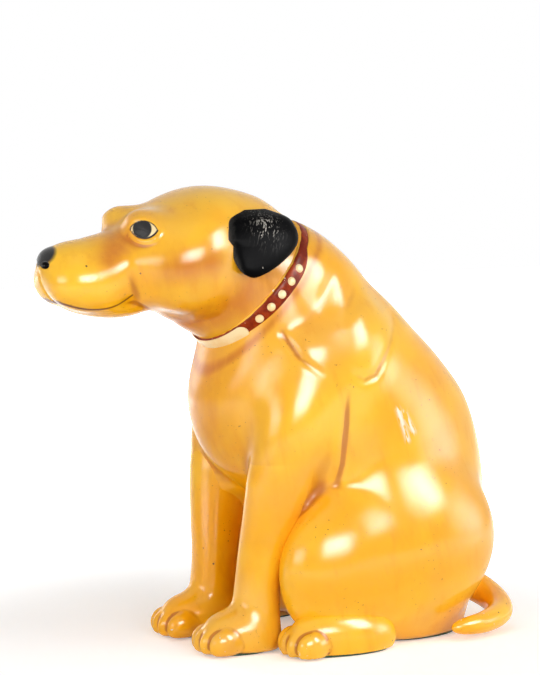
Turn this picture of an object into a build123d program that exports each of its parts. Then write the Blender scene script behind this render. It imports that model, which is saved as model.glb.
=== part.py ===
from build123d import *
import os
from collections import namedtuple
from math import cos, radians, sin, sqrt

# A seated smooth-coated dog in painted chalkware, looking straight ahead, with drop ears and a studded
# collar. It is piece cast: the hollow body and head, the forelegs, the ears and the tail each come from
# their own mould and are luted together with plaster slip over iron rods and wire.
# Millimetres. +Z is up, the dog faces -Y and its left side is +X. The sizes below are measured from a
# point under the withers; the finished pieces are moved along Y to stand centred on the origin.

# Plaster work
WALL = 9.0                    # thickness that sets in the mould before the slip is poured out
LUTE_GAP = 0.3                # film of slip between two luted faces
SPIGOT_LENGTH = 12.0          # how far the neck spigot enters the head
SPIGOT_THICKNESS = 3.0        # it stands up from the middle of the wall
WAD_THICKNESS = 4.0           # plaster and fibre wad pressed over the inside of the neck joint
WAD_HEIGHT = 22.0

# Collar
COLLAR_WIDTH = 14.0
COLLAR_PROUD = 2.6            # how far the band stands out of the neck
COLLAR_REBATE = 1.6           # depth of the rebate that it lies in
COLLAR_EDGE = 1.2             # rounding of its outer edges
STUD_DIAMETER = 7.0
STUD_HEIGHT = 1.8
STUD_SHANK_DIAMETER = 2.6
STUD_PITCH = 12.7             # along the band
STUDS_PER_SIDE = 5
PLATE_LENGTH = 99.5           # along the band, end to end
PLATE_WIDTH = 12.0
PLATE_PROUD = 1.2             # above the band
PLATE_END_FLAT = 0.4          # left between the round corners of each end
PLATE_STUD_GAP = 13.0         # from the end of the plate to the middle of the first stud

# Iron work
LEG_ROD_DIAMETER = 6.0
LEG_ROD_FOOT = 14.0           # height of its lower end above the table
LEG_ROD_FORWARD = 16.0        # its upper end lies this far in front of the middle of the upper arm
TAIL_WIRE_DIAMETER = 3.0
TAIL_WIRE_LENGTH = 34.0
BORE_GAP = 0.2                # round each rod, wire, peg and shank

# Underside
FELT = 2.0
FELT_MARGIN = 3.0             # felt kept inside the outline that it covers
CARD_THICKNESS = 3.0          # card that closes the hollow body

# A station is one cross-section: its place on the middle plane, how far it leans forward, its reach to
# the front and to the back, and its half width. Past upright, front is down and back is up.
Station = namedtuple("Station", "y z lean front back half_width")

NECK_REACH = 57.5               # the neck is a plain oval: as far to the front as to the back
NECK = Station(y=-16, z=280, lean=49.5, front=NECK_REACH, back=NECK_REACH, half_width=55.5)
TORSO = (
    Station(y=100, z=FELT, lean=0, front=58, back=66, half_width=64),
    Station(y=96, z=50, lean=0, front=66, back=84, half_width=73),
    Station(y=82, z=105, lean=4, front=80, back=103, half_width=78),
    Station(y=55, z=160, lean=12, front=102, back=116, half_width=77),
    Station(y=28, z=210, lean=22, front=98, back=96, half_width=73),
    Station(y=5, z=245, lean=33, front=82, back=79, half_width=63),
    NECK,
)
SKULL = (
    NECK,
    Station(y=-48, z=302, lean=58, front=60, back=56, half_width=52),
    Station(y=-80, z=312, lean=72, front=54, back=47, half_width=55),
    Station(y=-110, z=308, lean=84, front=44, back=40, half_width=49),
    Station(y=-138, z=298, lean=92, front=22, back=20, half_width=28),
)
MUZZLE = (
    Station(y=-114, z=299, lean=90, front=32, back=32, half_width=42),
    Station(y=-137, z=295, lean=91, front=29, back=29, half_width=38),
    Station(y=-160, z=293, lean=92, front=27, back=27, half_width=35),
    Station(y=-181, z=293, lean=94, front=21, back=22, half_width=27),
)
HOLLOW_SKULL = SKULL[:4]      # the muzzle beyond them is solid

# An egg is a rounded mass: its centre, its half sizes and its turn about X.
Egg = namedtuple("Egg", "x y z across along up turn")

HAUNCH = Egg(x=54, y=80, z=72, across=41, along=90, up=68, turn=8)
KNEE = Egg(x=66, y=24, z=64, across=29, along=48, up=54, turn=-16)
SHOULDER = Egg(x=38, y=34, z=220, across=38, along=44, up=56, turn=-26)
MUZZLE_TIP = Egg(x=0, y=-176, z=292, across=27, along=14, up=22, turn=0)
NOSE = Egg(x=0, y=-180, z=305, across=16, along=12, up=12, turn=-10)
FLEW = Egg(x=18, y=-157, z=285, across=19, along=34, up=22, turn=-4)
JAW = Egg(x=0, y=-140, z=273, across=25, along=40, up=12, turn=-4)
CHEEK = Egg(x=34, y=-84, z=298, across=24, along=38, up=33, turn=0)
BROW = Egg(x=21, y=-106, z=327, across=22, along=27, up=17, turn=-30)
EYE = Egg(x=32, y=-123, z=326, across=8, along=9, up=8, turn=0)

# A limb runs through level ovals, from the table up.
Oval = namedtuple("Oval", "x y z across along")

FORELIMB = (
    Oval(x=38, y=-33, z=20, across=18, along=20),
    Oval(x=39, y=-30, z=57, across=16.5, along=18),
    Oval(x=45, y=-25, z=94, across=18, along=22),
    Oval(x=50, y=-17, z=131, across=21, along=27),
    Oval(x=53, y=-7, z=165, across=25, along=33),
    Oval(x=51, y=2, z=198, across=26, along=36),
    Oval(x=44, y=8, z=230, across=23, along=31),
)
LEG_JOINT = 3                 # the oval where the foreleg is luted to the body
FOREPAW = Egg(x=38, y=-46, z=13, across=20, along=31, up=21, turn=-6)
HIND_FOOT = Egg(x=76, y=24, z=13, across=20, along=46, up=24, turn=-4)
TOES = 4
TOE = Egg(x=0, y=0, z=9, across=6.8, along=13, up=12, turn=-10)
TOE_SPREAD = 10.5             # between neighbouring toes

# An ear hangs through level ovals, from its root at the top of the head to its tip.
EAR = (
    Oval(x=33, y=-34, z=340, across=5, along=14),
    Oval(x=43, y=-32, z=335, across=7, along=24),
    Oval(x=51, y=-31, z=326, across=7.5, along=29.5),
    Oval(x=56, y=-32, z=315, across=7, along=29.5),
    Oval(x=59, y=-37, z=303, across=6, along=21.5),
    Oval(x=60, y=-42, z=294.5, across=4.5, along=12),
    Oval(x=60, y=-44, z=290, across=2.5, along=5),
)
EAR_PEG_DIAMETER = 9.0
EAR_PEG_LENGTH = 14.0
EAR_PEG_OVAL = 2              # the peg goes in from the middle of this oval

# The tail leaves the rump, drops to the table and lies forward along the left haunch.
TAIL_ROUTE = ((0, 166, 36), (18, 184, 24), (52, 180, 16), (77, 152, 12.5), (86, 116, 11.5))
TAIL_ROOT_RADIUS = 13.0
TAIL_TIP_RADIUS = 7.0
TAIL_TIP_BLUNT = 0.92         # 0 leaves the tip square, 1 draws it to a point
TAIL_STATIONS = 9


def station_plane(station):
    """Plane of a cross-section: X across the dog, Y to its back, Z along the spine."""
    lean = radians(station.lean)
    return Plane((0, station.y, station.z), x_dir=(1, 0, 0), z_dir=(0, -sin(lean), cos(lean)))


def section(station, grow=0.0):
    """Closed outline of a half ellipse to the front and another to the back, tangent at the sides."""
    half_width = station.half_width + grow
    outline = [
        EllipticalCenterArc((0, 0), half_width, station.back + grow, 0, arc_size=180),
        EllipticalCenterArc((0, 0), half_width, station.front + grow, 180, arc_size=180),
    ]
    return make_face(outline)


def lofted(stations, grow=0.0):
    """Solid through a row of cross-sections, each grown by the same amount."""
    return loft([station_plane(station) * section(station, grow) for station in stations])


def egg(mass, grow=0.0):
    """Rounded mass: a ball stretched to its three half sizes, turned about X and set in place."""
    ball = scale(Sphere(1), by=(mass.across + grow, mass.along + grow, mass.up + grow))
    return Pos(mass.x, mass.y, mass.z) * Rot(mass.turn, 0, 0) * ball


def limb(ovals, grow=0.0):
    """Solid through level ovals."""
    return loft([Pos(o.x, o.y, o.z) * Ellipse(o.across + grow, o.along + grow) for o in ovals])


def mirrored(solid):
    """The same piece for the right side."""
    return mirror(solid, about=Plane.YZ)


def both_sides(solid):
    return [solid, mirrored(solid)]


def neck_ring(outer, inner, low, high):
    """Oval ring round the neck between two levels along it; outer and inner are offsets from the neck."""
    ring = Ellipse(NECK.half_width + outer, NECK_REACH + outer)
    ring -= Ellipse(NECK.half_width + inner, NECK_REACH + inner)
    return extrude(station_plane(NECK).offset(low) * ring, high - low)


def above_felt(solid):
    """Trims a casting flat where its felt is glued on."""
    box = solid.bounding_box()
    size, middle = box.size, box.center()
    block = Box(2 * size.X, 2 * size.Y, 2 * size.Z, align=(Align.CENTER, Align.CENTER, Align.MAX))
    return solid - Pos(middle.X, middle.Y, FELT) * block


def paw(mass):
    """Left foot with its toes side by side at the front."""
    foot = egg(mass)
    reach = mass.along - TOE.along / 2
    for index in range(TOES):
        place = index - (TOES - 1) / 2
        back_step = abs(place) * TOE.across / 2
        foot += egg(TOE._replace(x=mass.x + place * TOE_SPREAD, y=mass.y - reach + back_step))
    return foot


def leg_rod(grow=0.0):
    """Iron rod up the left foreleg, from the paw into the upper arm."""
    low, high = FORELIMB[0], FORELIMB[LEG_JOINT + 2]
    start = Vector(low.x, low.y, LEG_ROD_FOOT)
    end = Vector(high.x, high.y - LEG_ROD_FORWARD, high.z)
    line = end - start
    plane = Plane(start, z_dir=line).offset(-grow)
    return extrude(plane * Circle(LEG_ROD_DIAMETER / 2 + grow), line.length + 2 * grow)


def tail(grow=0.0):
    """Tail through circles along its route: an even taper, rounded off over the last of its length."""
    route = Spline(*TAIL_ROUTE)
    rings = []
    for index in range(TAIL_STATIONS + 1):
        share = index / TAIL_STATIONS
        radius = TAIL_ROOT_RADIUS + (TAIL_TIP_RADIUS - TAIL_ROOT_RADIUS) * share
        rounding = sqrt(1 - TAIL_TIP_BLUNT * share ** 12)
        heading = route % share
        plane = Plane(route @ share, x_dir=heading.cross(Vector(0, 0, 1)), z_dir=heading)
        rings.append(plane * Circle(radius * rounding + grow))
    return loft(rings)


def tail_wire(grow=0.0):
    """Straight wire along the root of the tail, half in the rump and half in the tail."""
    route = Spline(*TAIL_ROUTE)
    half = TAIL_WIRE_LENGTH / 2 + grow
    plane = Plane(route @ 0, z_dir=route % 0).offset(-half + TAIL_WIRE_LENGTH / 4)
    return extrude(plane * Circle(TAIL_WIRE_DIAMETER / 2 + grow), 2 * half)


def ear(grow=0.0):
    """Left ear, with the peg that holds it in the head."""
    root = EAR[EAR_PEG_OVAL]
    plane = Plane((root.x, root.y, root.z), z_dir=(-1, 0, 0))
    peg = extrude(plane * Circle(EAR_PEG_DIAMETER / 2 + grow), EAR_PEG_LENGTH + grow)
    return limb(EAR, grow) + peg


def collar_rebate():
    half = COLLAR_WIDTH / 2 + LUTE_GAP
    return neck_ring(2 * WALL, -COLLAR_REBATE, -half, half)


def band_place(along):
    """Plane on the outside of the collar band, a distance along it from the front, facing outwards."""
    half_width, reach = NECK.half_width + COLLAR_PROUD, NECK_REACH + COLLAR_PROUD
    turn = EllipticalCenterArc((0, 0), half_width, reach, 270, arc_size=360)
    distance = along % turn.length
    point = turn.position_at(distance, position_mode=PositionMode.LENGTH)
    direction = turn.tangent_at(distance, position_mode=PositionMode.LENGTH)
    outwards = Vector(direction.Y, -direction.X, 0)
    return station_plane(NECK) * Plane(point, x_dir=direction, z_dir=outwards)


def stud_places():
    first = PLATE_LENGTH / 2 + PLATE_STUD_GAP
    for index in range(STUDS_PER_SIDE):
        for side in (1, -1):
            yield band_place(side * (first + index * STUD_PITCH))


def stud_shank(grow=0.0):
    """Shank through the whole band, standing up into the middle of the head."""
    depth = COLLAR_PROUD + COLLAR_REBATE - LUTE_GAP + grow
    plane = Plane.XY.offset(-depth)
    return extrude(plane * Circle(STUD_SHANK_DIAMETER / 2 + grow), depth + STUD_HEIGHT / 2)


def stud():
    """Domed head, a cap cut from a ball, on a short shank."""
    radius = STUD_DIAMETER / 2
    ball = (radius ** 2 + STUD_HEIGHT ** 2) / (2 * STUD_HEIGHT)
    cap = Pos(0, 0, STUD_HEIGHT - ball) * Sphere(ball)
    above = Box(STUD_DIAMETER, STUD_DIAMETER, STUD_HEIGHT, align=(Align.CENTER, Align.CENTER, Align.MIN))
    return (cap & above) + stud_shank()


def collar_band():
    """Band with rounded outer edges and a hole for each stud."""
    half = COLLAR_WIDTH / 2
    band = neck_ring(COLLAR_PROUD, LUTE_GAP - COLLAR_REBATE, -half, half)
    outer_edges = band.edges().sort_by(Edge.length)[-2:]
    band = fillet(outer_edges, COLLAR_EDGE)
    return band - [place * stud_shank(BORE_GAP) for place in stud_places()]


def collar_plate():
    """Bare curved plate with round ends, bent to the front of the band and cut square to it at both ends."""
    half = PLATE_WIDTH / 2
    plate = neck_ring(COLLAR_PROUD + PLATE_PROUD, COLLAR_PROUD + LUTE_GAP, -half, half)
    for side in (1, -1):
        end = Plane(band_place(side * PLATE_LENGTH / 2))
        plate = split(plate, bisect_by=Plane(end.origin, z_dir=-side * end.x_dir), keep=Keep.TOP)
    corners = plate.edges().filter_by(GeomType.LINE).sort_by(Edge.length)[:4]
    return fillet(corners, (PLATE_WIDTH - PLATE_END_FLAT) / 2)


def neck_wad():
    """Ring over the inside of the neck joint, kept inside the hollows of the body and the head."""
    half = WAD_HEIGHT / 2
    ring = neck_ring(-WALL - LUTE_GAP, -WALL - WAD_THICKNESS, -half, half)
    return (ring & lofted(TORSO, -WALL)) + (ring & lofted(HOLLOW_SKULL, -WALL))


def body_casting():
    """Hollow body with its haunches, shoulders, upper arms and hind feet."""
    side = egg(HAUNCH) + egg(KNEE) + egg(SHOULDER) + limb(FORELIMB[LEG_JOINT:]) + paw(HIND_FOOT)
    form = lofted(TORSO) + both_sides(side)
    hollow = lofted(TORSO, -WALL) + both_sides(egg(HAUNCH, -WALL))
    casting = above_felt(form) - hollow
    spigot_outside = -WALL / 2 - LUTE_GAP
    casting += neck_ring(spigot_outside, spigot_outside - SPIGOT_THICKNESS, -WALL / 2, SPIGOT_LENGTH)
    casting -= collar_rebate()
    casting -= both_sides(limb(FORELIMB[:LEG_JOINT + 1], LUTE_GAP))
    casting -= both_sides(leg_rod(BORE_GAP))
    return casting - tail(LUTE_GAP) - tail_wire(BORE_GAP)


def head_casting():
    """Hollow head and upper neck, with a socket for the neck spigot and a hole for each ear's peg."""
    form = lofted(SKULL) + lofted(MUZZLE) + egg(MUZZLE_TIP) + egg(NOSE) + egg(JAW)
    for mass in (FLEW, CHEEK, BROW, EYE):
        form += both_sides(egg(mass))
    casting = form - lofted(HOLLOW_SKULL, -WALL)
    casting -= neck_ring(-WALL / 2, -WALL - LUTE_GAP, -WALL, SPIGOT_LENGTH + LUTE_GAP)
    casting -= collar_rebate()
    return casting - both_sides(ear(LUTE_GAP))


def foreleg():
    leg = above_felt(limb(FORELIMB[:LEG_JOINT + 1]) + paw(FOREPAW))
    return leg - leg_rod(BORE_GAP)


def base_card():
    """Card let into the open foot of the hollow body."""
    card = section(TORSO[0], -WALL - LUTE_GAP)
    return extrude(station_plane(TORSO[0]) * card, CARD_THICKNESS)


def body_felt():
    return extrude(Pos(0, TORSO[0].y, 0) * section(TORSO[0], -FELT_MARGIN), FELT)


def foot_felt(mass):
    """Felt under a foot, a margin inside the oval where the foot is trimmed flat."""
    share = sqrt(1 - ((mass.z - FELT) / mass.up) ** 2)
    oval = Ellipse(mass.across * share - FELT_MARGIN, mass.along * share - FELT_MARGIN)
    return extrude(Pos(mass.x, mass.y, 0) * oval, FELT)


pieces = {
    "body_casting": body_casting(),
    "head_casting": head_casting(),
    "left_foreleg": foreleg(),
    "left_ear": ear(),
    "left_leg_rod": leg_rod(),
    "tail": tail() - tail_wire(BORE_GAP),
    "tail_wire": tail_wire(),
    "neck_wad": neck_wad(),
    "collar_band": collar_band(),
    "collar_plate": collar_plate(),
    "collar_studs": Compound([place * stud() for place in stud_places()]),
    "base_card": base_card(),
    "body_felt": body_felt(),
    "forepaw_felts": Compound(both_sides(foot_felt(FOREPAW))),
    "hind_foot_felts": Compound(both_sides(foot_felt(HIND_FOOT))),
}
for name in ("foreleg", "ear", "leg_rod"):
    pieces[f"right_{name}"] = mirrored(pieces[f"left_{name}"])

whole = Compound(list(pieces.values()))
centred = Pos(0, -whole.bounding_box().center().Y, 0)
os.makedirs("parts", exist_ok=True)
for name, piece in pieces.items():
    export_step(centred * piece, f"parts/{name}.step")
print("moved along Y by", round(centred.position.Y, 3))
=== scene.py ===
import bpy
import numpy as np
from mathutils import Matrix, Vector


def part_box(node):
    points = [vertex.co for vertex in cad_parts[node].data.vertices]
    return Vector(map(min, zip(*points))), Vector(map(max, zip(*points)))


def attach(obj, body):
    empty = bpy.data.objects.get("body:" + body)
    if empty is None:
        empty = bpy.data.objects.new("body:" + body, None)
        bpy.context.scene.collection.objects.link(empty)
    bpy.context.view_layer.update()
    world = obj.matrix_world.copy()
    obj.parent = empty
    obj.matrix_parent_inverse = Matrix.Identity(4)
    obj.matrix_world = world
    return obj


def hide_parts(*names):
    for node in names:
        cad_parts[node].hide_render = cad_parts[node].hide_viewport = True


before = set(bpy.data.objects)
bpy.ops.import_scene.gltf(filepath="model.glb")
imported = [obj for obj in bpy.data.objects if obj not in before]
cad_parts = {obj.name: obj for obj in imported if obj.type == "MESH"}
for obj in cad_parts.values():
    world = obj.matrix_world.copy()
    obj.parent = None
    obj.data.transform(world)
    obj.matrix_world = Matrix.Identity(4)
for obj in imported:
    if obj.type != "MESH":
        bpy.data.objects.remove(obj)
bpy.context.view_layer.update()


# Body: a hollow plaster casting with the haunches, shoulders and upper arms of a seated dog in one piece.
# It is painted yellow, with amber in its folds, partly paint worked into them and partly painted shade,
# painted amber shade on its chest front and below the collar, and varnished. It stands open end down on its
# felt.
# Sizes are in millimetres from a point on the table under the withers; -Y is forward, +X the dog's left.
MM = 0.001
TINY = 1e-6
NECK_Y, NECK_Z, NECK_LEAN, NECK_HALF_WIDTH, NECK_REACH = -16.0, 280.0, 49.5, 55.5, 57.5
neck_lean = np.radians(NECK_LEAN)
NECK_CENTRE = np.array([0, NECK_Y, NECK_Z])
NECK_UP = np.array([0, -np.sin(neck_lean), np.cos(neck_lean)])
band_low, band_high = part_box("collar_band")
withers = np.array([0.0, (band_low.y + band_high.y) / 2 / MM - NECK_Y, 0.0])
felt_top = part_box("body_felt")[1].z / MM

# Each cross-section: y, z, forward lean in degrees, reach to the front, reach to the back, half width.
TORSO = np.array([
    (100, felt_top, 0, 58, 66, 64),
    (96, 50, 0, 66, 84, 73),
    (82, 105, 4, 80, 103, 78),
    (55, 160, 12, 102, 116, 77),
    (28, 210, 22, 98, 96, 73),
    (5, 245, 33, 82, 79, 63),
    (NECK_Y, NECK_Z, NECK_LEAN, NECK_REACH, NECK_REACH, NECK_HALF_WIDTH),
])
# Each rounded mass of the left side: x, y, z, half sizes across, along and up, turn about X, and fillet.
BODY_MASSES = (
    (54, 80, 72, 41, 90, 68, 8, 18),
    (66, 24, 64, 29, 48, 54, -16, 16),
    (38, 34, 220, 38, 44, 56, -26, 12),
    (54, 6, 226, 16, 18, 24, -30, 16),
    (0, 26, 284, 46, 44, 30, -43, 20),
)
# Each oval of the left foreleg, from the table up: x, y, z, half sizes across and along.
FORELIMB = np.array([
    (38, -33, 20, 18, 20),
    (39, -30, 57, 16.5, 18),
    (45, -25, 94, 18, 22),
    (50, -17, 131, 21, 27),
    (53, -7, 165, 25, 33),
    (51, 2, 198, 26, 36),
    (44, 8, 230, 23, 31),
])
LIMB_STEPS, LIMB_LEAST = 400, 2.0
ARM_CROWN, ARM_FILLET = 22.0, 9.0
# Below these heights the upper arm thins, first a little and then fast, so that it ends inside the foreleg.
STUB_TOP_Z, STUB_TAPER = 170.0, 0.03
STUB_END_Z, STUB_END_TAPER = 114.0, 1.2
# Each fold that the spokes only graze, from the armpit down the inside of the knee: its place and reach.
GRAZED_FOLDS = (((22, -8, 124), 18.0), ((38, 2, 92), 22.0), ((40, 8, 60), 24.0))
# Each crease of the flank as seen from the side: its line in y and z, its width and its depth.
BODY_CREASES = (
    (((-21, 252), (-15, 240), (-9, 228), (9, 213)), 3.2, 1.7),
    (((28, 206), (28, 175), (26, 145), (22, 124)), 3.8, 2.3),
    (((94, 266), (84, 249), (66, 228), (53, 213), (43, 210), (33, 214), (24, 225)), 4.5, 1.4),
    (((10, 262), (24, 283), (37, 302)), 5.5, 1.0),
    (((25, 249), (41, 269), (56, 287)), 5.5, 1.0),
)
# Each wave of the hand finish: its run along x, y and z in radians for each millimetre, and its start.
FINISH_WAVES = ((1 / 11, 1 / 17, 0, 0), (0, 1 / 9, -1 / 13, 1.3), (1 / 8, 0, 1 / 15, 2.1))
FINISH_DEPTH = 0.16
FOOT_ROUNDING, MIDDLE_ROUNDING = 3.0, 3.0
BODY_ROWS, BODY_COLUMNS = 290, 320


def between(stations, places):
    """Values at places, from 0 to 1, along a row of stations: a cubic from each station to the next, with
    the slope at each one taken across its neighbours. The way runs along the first two columns."""
    steps = np.linalg.norm(np.diff(stations[:, :2], axis=0), axis=1)
    knots = np.concatenate([[0.0], np.cumsum(steps)]) / steps.sum()
    slopes = np.gradient(stations, knots, axis=0)
    first = np.clip(np.searchsorted(knots, places, side="right") - 1, 0, len(knots) - 2)
    span = (knots[first + 1] - knots[first])[:, None]
    t = (places - knots[first])[:, None] / span
    leaving = (1 + 2 * t) * (1 - t) ** 2 * stations[first] + t * (1 - t) ** 2 * span * slopes[first]
    arriving = t ** 2 * (3 - 2 * t) * stations[first + 1] + t ** 2 * (t - 1) * span * slopes[first + 1]
    return leaving + arriving


def spokes(sections, columns):
    """Axis points, directions and lengths of spokes that go round each cross-section: half an ellipse to
    the front and half to the back, in a plane that leans forward."""
    y, z, lean, front, back, half_width = (column[:, None] for column in sections.T)
    turn = 2 * np.pi * np.arange(columns) / columns
    across, backwards = np.cos(turn), np.sin(turn)
    lean = np.radians(lean)
    heading = np.broadcast_arrays(across, backwards * np.cos(lean), backwards * np.sin(lean))
    lengths = 1 / np.hypot(across / half_width, backwards / np.where(backwards >= 0, back, front))
    return np.stack([0 * y, y, z], -1), np.stack(heading, -1), lengths


def mass_gap(points, mass):
    """Gap from points to a ball stretched to three half sizes and turned about X: the length of the point
    over the half sizes, less one, divided by the slope of that length."""
    turn = np.radians(mass[6])
    x, y, z = np.moveaxis(points - mass[:3], -1, 0)
    local = np.stack([x, y * np.cos(turn) + z * np.sin(turn), z * np.cos(turn) - y * np.sin(turn)], -1)
    sizes = np.array(mass[3:6])
    share = np.linalg.norm(local / sizes, axis=-1)
    slope = np.linalg.norm(local / sizes ** 2, axis=-1)
    return share * (share - 1) / np.maximum(slope, TINY)


def melt(gap, other, fillet):
    """Gap to two forms run together: the smaller gap, less a parabola where the two are within a fillet."""
    close = np.maximum(fillet - np.abs(gap - other), 0)
    return np.minimum(gap, other) - close ** 2 / (4 * fillet)


def beside_line(points, line):
    """Distance of points, seen from the side, to a line through places in y and z, and how far along the
    line, from 0 to 1, the nearest place is."""
    seen = points[..., 1:]
    nearest, along = np.full(seen.shape[:-1], np.inf), np.zeros(seen.shape[:-1])
    for index, (start, end) in enumerate(zip(np.array(line[:-1], float), np.array(line[1:], float))):
        step = end - start
        share = np.clip((seen - start) @ step / (step @ step), 0, 1)
        distance = np.linalg.norm(seen - start - share[..., None] * step, axis=-1)
        along = np.where(distance < nearest, (index + share) / (len(line) - 1), along)
        nearest = np.minimum(nearest, distance)
    return nearest, along


def creased(points, creases):
    """Depth of the creases at points: a bell curve across each crease's line, running out at its ends."""
    depths = 0
    for line, width, depth in creases:
        distance, along = beside_line(points, line)
        depths = depths + depth * np.exp(-(distance / width) ** 2) * np.sin(np.pi * along)
    return depths


def hand_finish(points):
    """Slow unevenness that scraping by hand leaves, in millimetres: the sum of crossed sine waves."""
    return FINISH_DEPTH * sum(np.sin(points @ wave[:3] + wave[3]) for wave in FINISH_WAVES)


# The way up the limb is measured in z and y, so these two columns go first.
limb_ovals = between(FORELIMB[:, [2, 1, 0, 3, 4]], np.linspace(0, 1, LIMB_STEPS))[:, [2, 1, 0, 3, 4]]


def limb_gap(points, shrink):
    """Gap to the foreleg and upper arm, made smaller all round by shrink: level ovals up the limb, rounded
    over above the last one."""
    x, y, z = np.moveaxis(points, -1, 0)
    levels = limb_ovals[:, 2]
    middle_x, middle_y, across, along = (np.interp(z, levels, limb_ovals[:, i]) for i in (0, 1, 3, 4))
    across, along = np.maximum(across - shrink, LIMB_LEAST), np.maximum(along - shrink, LIMB_LEAST)
    crown = np.maximum(z - levels[-1], 0) / ARM_CROWN
    share = np.sqrt(((x - middle_x) / across) ** 2 + ((y - middle_y) / along) ** 2 + crown ** 2)
    return (share - 1) * np.minimum(across, along)


def left_side(points):
    """The same points with those of the right side mirrored to the left, rounded off across the middle."""
    return np.concatenate([np.hypot(points[..., :1], MIDDLE_ROUNDING), points[..., 1:]], -1)


def foot_rounding(height):
    """How far the edge round a foot is drawn in just above the felt: a parabola of the height."""
    low = np.clip(1 - (height - felt_top) / FOOT_ROUNDING, 0, 1)
    return FOOT_ROUNDING * low ** 2 / 2


def body_gap(points, gap):
    """Gap to the body: its torso, the masses of each side and the upper arms run together, then creased."""
    left = left_side(points)
    for *mass, fillet in BODY_MASSES:
        gap = melt(gap, mass_gap(left, mass), fillet)
    height = points[..., 2]
    stub = STUB_TAPER * np.maximum(STUB_TOP_Z - height, 0)
    stub += STUB_END_TAPER * np.maximum(STUB_END_Z - height, 0)
    gap = melt(gap, limb_gap(left, stub), ARM_FILLET)
    return gap + creased(left, BODY_CREASES) + hand_finish(points) + foot_rounding(height)


def cast(axis, directions, lengths, gap_at, outside=70.0, steps=40, stride=0.8, least=2.0):
    """Surface of a casting: on each spoke the outermost point with no gap left, found by coming in from
    outside, each time by a stride, a share of the gap that remains. The gap is worked out from the point and
    from how far it lies beyond the spoke's length."""
    reach = lengths + outside
    for _ in range(steps):
        gap = gap_at(axis + reach[..., None] * directions, reach - lengths)
        reach = np.maximum(reach - stride * gap, least)
    return axis + reach[..., None] * directions


def relaxed(grid, place, reach, rounds=50):
    """The grid with its points near a place of the left side, and of the right, drawn towards the middle of
    their four neighbours, again and again: it smooths folds that the spokes only graze."""
    for _ in range(rounds):
        near = np.exp(-(np.linalg.norm(left_side(grid) - place, axis=-1, keepdims=True) / reach) ** 2)
        padded = np.pad(grid, ((1, 1), (0, 0), (0, 0)), mode="edge")
        middle = (padded[2:] + padded[:-2] + np.roll(grid, 1, axis=1) + np.roll(grid, -1, axis=1)) / 4
        grid = grid + near * (middle - grid)
    return grid


def hollows(grid, reach=3, at=4.0):
    """How far each point of a grid lies below its neighbours along the surface's normal, taken a few steps
    away and scaled to neighbours at one distance: positive in folds, negative on ridges, in millimetres."""
    padded = np.pad(grid, ((reach, reach), (0, 0), (0, 0)), mode="reflect", reflect_type="odd")
    above, below = padded[2 * reach:], padded[:-2 * reach]
    ahead, behind = np.roll(grid, -reach, axis=1), np.roll(grid, reach, axis=1)
    normal = np.cross(ahead - behind, above - below)
    normal /= np.maximum(np.linalg.norm(normal, axis=-1, keepdims=True), TINY)
    depths = 0
    for near, far in ((above, below), (ahead, behind)):
        sag = (((near + far) / 2 - grid) * normal).sum(-1)
        depths = depths + sag * at ** 2 / np.maximum(((near - far) ** 2).sum(-1) / 4, 1.0)
    return depths


def figure_piece(name, points, faces, values):
    """Smooth object of points in millimetres and faces, fixed to the figure, with values kept as attributes
    of its points."""
    mesh = bpy.data.meshes.new(name)
    mesh.from_pydata((points + withers) * MM, [], faces)
    for key, value in values.items():
        mesh.attributes.new(key, "FLOAT", "POINT").data.foreach_set("value", value)
    mesh.shade_smooth()
    made = bpy.data.objects.new(name, mesh)
    bpy.context.scene.collection.objects.link(made)
    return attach(made, "root")


def piece(name, grid, **values):
    """Closed piece of a grid whose columns run round and whose rows run from end to end, each end drawn to
    a point in its middle."""
    rows, columns = grid.shape[:2]
    place = np.arange(rows * columns).reshape(rows, columns)
    ahead = np.roll(place, -1, axis=1)
    quads = np.stack([place[:-1], ahead[:-1], ahead[1:], place[1:]], -1).reshape(-1, 4)
    first = np.stack([ahead[0], place[0], np.full(columns, rows * columns)], -1)
    last = np.stack([place[-1], ahead[-1], np.full(columns, rows * columns + 1)], -1)
    points = np.concatenate([grid.reshape(-1, 3), grid[:1].mean(1), grid[-1:].mean(1)])
    faces = quads.tolist() + first.tolist() + last.tolist()
    values = {key: np.append(value, [value[0].mean(), value[-1].mean()]) for key, value in values.items()}
    return figure_piece(name, points, faces, values)


def paint(red, green, blue):
    """Shader colour of an sRGB colour given as three numbers from 0 to 255, by the standard curve: straight
    at its dark end, a power above it."""
    srgb = np.array([red, green, blue]) / 255
    linear = np.where(srgb <= 0.04045, srgb / 12.92, ((srgb + 0.055) / 1.055) ** 2.4)
    return (*linear.tolist(), 1.0)


def shader(name):
    """New material: the material, its node tree and its Principled shader."""
    material = bpy.data.materials.new(name)
    material.use_nodes = True
    return material, material.node_tree, material.node_tree.nodes["Principled BSDF"]


def wire(tree, kind, inputs, output=0, **settings):
    """Adds a shader node, sets its inputs to values or other nodes' outputs, and returns one output."""
    made = tree.nodes.new("ShaderNode" + kind)
    for key, value in settings.items():
        setattr(made, key, value)
    for key, value in inputs.items():
        if isinstance(value, bpy.types.NodeSocket):
            tree.links.new(value, made.inputs[key])
        else:
            made.inputs[key].default_value = value
    return made.outputs[output]


def over(tree, share, under, top):
    """One colour laid over another by a share from 0 to 1."""
    return wire(tree, "Mix", {0: share, 6: under, 7: top}, 2, data_type="RGBA")


def rise(tree, value, low, high):
    """0 below low, 1 above high, and a smooth step between; the other way round where low is the larger."""
    ends = {"Value": value, "From Min": low, "From Max": high}
    return wire(tree, "MapRange", ends, interpolation_type="SMOOTHSTEP")


def times(tree, one, other):
    """Product of two values."""
    return wire(tree, "Math", {0: one, 1: other}, operation="MULTIPLY")


def plus(tree, one, other):
    """Sum of two values."""
    return wire(tree, "Math", {0: one, 1: other}, operation="ADD")


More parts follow.
